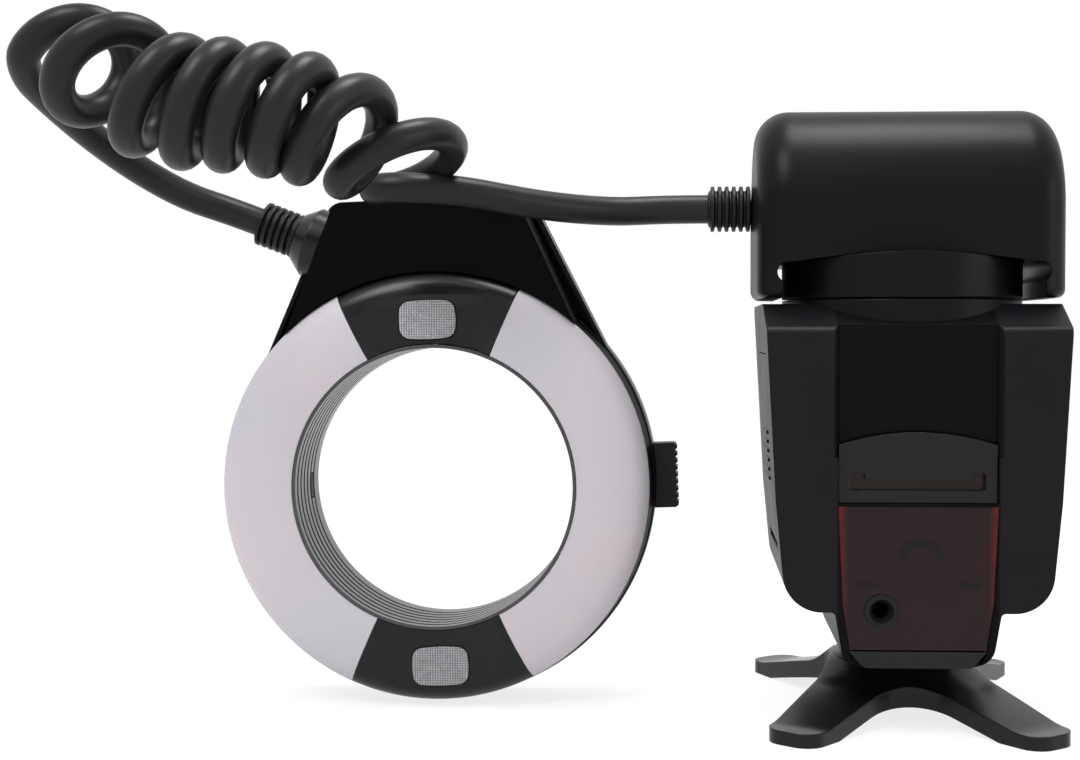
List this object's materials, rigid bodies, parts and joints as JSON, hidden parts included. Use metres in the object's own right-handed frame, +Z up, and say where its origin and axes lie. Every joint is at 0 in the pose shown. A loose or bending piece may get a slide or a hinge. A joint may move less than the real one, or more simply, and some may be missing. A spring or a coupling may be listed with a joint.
{
  "type": "macro ring flash",
  "caption": "Macro ring flash: a round lamp head with frosted diffusers, a curly cord and an upright control unit on a low four-armed stand.",
  "frame": {"origin": "on the floor, under the middle of the object's bounding box without its cord", "axes": "+X is to the viewer's right, from the ring head to the control unit; +Y points away from the viewer; +Z is up"},
  "size_m": [0.2409, 0.1372, 0.1636],
  "materials": {
    "shell": "satin moulded plastic",
    "ring_face": "frosted diffuser",
    "lamp_glass": "frosted micro-prism lens",
    "lamp_body": "lamp",
    "reflector": "polished",
    "tube_glass": "clear",
    "board": "circuit board",
    "rubber": "satin",
    "steel": "plain",
    "cell": "gloss sleeve",
    "red_glass": "dark red, glossy",
    "insert": "dark brown",
    "lcd": "display glass",
    "cover_glass": "clear, dark",
    "key": "satin",
    "sleeve": "ribbed, matte",
    "stand_plastic": "semi-gloss"
  },
  "bodies": {
    "head_unit": {"diffuser_left": "ring_face", "diffuser_right": "ring_face", "lamp_bezel_top": "shell", "lamp_bezel_bottom": "shell", "lamp_lens_top": "lamp_glass", "lamp_lens_bottom": "lamp_glass", "focus_lamp_top": "lamp_body", "focus_lamp_bottom": "lamp_body", "ring_front_housing": "shell", "ring_rear_cover": "shell", "bore_sleeve": "sleeve", "reflector_left": "reflector", "reflector_right": "reflector", "flash_tube_left": "tube_glass", "flash_tube_right": "tube_glass", "ring_circuit_board": "board", "ring_screws": "steel", "ring_cord_socket": "shell", "ring_cord_boot": "rubber", "head_cord_boot": "rubber", "cord_ring_tail": "rubber", "cord_coil": "rubber", "cord_head_lead": "rubber", "head_housing": "shell", "main_capacitor": "cell", "swivel_neck": "shell", "swivel_pivot": "shell"},
    "control_body": {"body_turntable": "shell", "body_front_shell": "shell", "body_rear_shell": "shell", "front_upper_panel": "shell", "slot_insert": "insert", "red_window": "red_glass", "aperture_mask": "insert", "foot_trim": "shell", "sync_jack": "key", "battery_frame": "shell", "battery_contacts": "steel", "battery_cells": "cell", "main_board": "board", "lcd_module": "lcd", "lcd_window": "cover_glass", "body_screws": "steel", "foot_block": "shell", "shoe_foot": "steel", "lever_bracket": "shell"},
    "release": {"release_slider": "key"},
    "door": {"battery_door": "shell"},
    "soft_key_a": {"soft_key_1": "key"},
    "soft_key_b": {"soft_key_2": "key"},
    "soft_key_c": {"soft_key_3": "key"},
    "soft_key_d": {"soft_key_4": "key"},
    "pad": {"pad_key": "key"},
    "set_button": {"set_key": "key"},
    "pilot_button": {"pilot_key": "key"},
    "switch": {"power_switch": "key"},
    "pin": {"lock_pin": "steel"},
    "lever": {"lock_lever": "key"},
    "stand_body": {"stand": "stand_plastic"}
  },
  "joints": [
    {"name": "head_swivel", "type": "hinge", "parent": "head_unit", "child": "control_body", "pos_m": [0.06638, -0.0023, 0.1008], "axis": [0, 0, 1], "range_deg": [-90, 90]},
    {"name": "release_press", "type": "slide", "parent": "head_unit", "child": "release", "axis": [-0.9994, 0, -0.0349], "range_m": [0, 0.0025], "stiffness_N_per_m": 600, "springref_m": -0.001},
    {"name": "battery_door_hinge", "type": "hinge", "parent": "control_body", "child": "door", "pos_m": [0.03672, -0.008, 0.0436], "axis": [0, -1, 0], "range_deg": [0, 35]},
    {"name": "power_switch_slide", "type": "slide", "parent": "control_body", "child": "switch", "axis": [0, 0, 1], "range_m": [0, 0.005]},
    {"name": "lock_lever_turn", "type": "hinge", "parent": "control_body", "child": "lever", "pos_m": [0.07537, 0.019, 0.0242], "axis": [0, 0, 1], "range_deg": [0, 60]},
    {"name": "lock_pin_drop", "type": "slide", "parent": "control_body", "child": "pin", "axis": [0, 0, -1], "range_m": [0, 0.0012]},
    {"name": "shoe_slide", "type": "slide", "parent": "control_body", "child": "stand_body", "axis": [0, -1, 0], "range_m": [0, 0.02]},
    {"name": "soft_key_a_press", "type": "slide", "parent": "control_body", "child": "soft_key_a", "axis": [0, -1, 0], "range_m": [0, 0.0006], "stiffness_N_per_m": 1500, "springref_m": -0.0002},
    {"name": "soft_key_b_press", "type": "slide", "parent": "control_body", "child": "soft_key_b", "axis": [0, -1, 0], "range_m": [0, 0.0006], "stiffness_N_per_m": 1500, "springref_m": -0.0002},
    {"name": "soft_key_c_press", "type": "slide", "parent": "control_body", "child": "soft_key_c", "axis": [0, -1, 0], "range_m": [0, 0.0006], "stiffness_N_per_m": 1500, "springref_m": -0.0002},
    {"name": "soft_key_d_press", "type": "slide", "parent": "control_body", "child": "soft_key_d", "axis": [0, -1, 0], "range_m": [0, 0.0006], "stiffness_N_per_m": 1500, "springref_m": -0.0002},
    {"name": "pad_press", "type": "slide", "parent": "control_body", "child": "pad", "axis": [0, -1, 0], "range_m": [0, 0.0006], "stiffness_N_per_m": 1500, "springref_m": -0.0002},
    {"name": "set_button_press", "type": "slide", "parent": "control_body", "child": "set_button", "axis": [0, -1, 0], "range_m": [0, 0.0006], "stiffness_N_per_m": 1500, "springref_m": -0.0002},
    {"name": "pilot_button_press", "type": "slide", "parent": "control_body", "child": "pilot_button", "axis": [0, -1, 0], "range_m": [0, 0.0006], "stiffness_N_per_m": 1500, "springref_m": -0.0002}
  ],
  "couplings": [
    {"joint": "lock_pin_drop", "follows": "lock_lever_turn", "m_per_rad": 0.0011459}
  ]
}
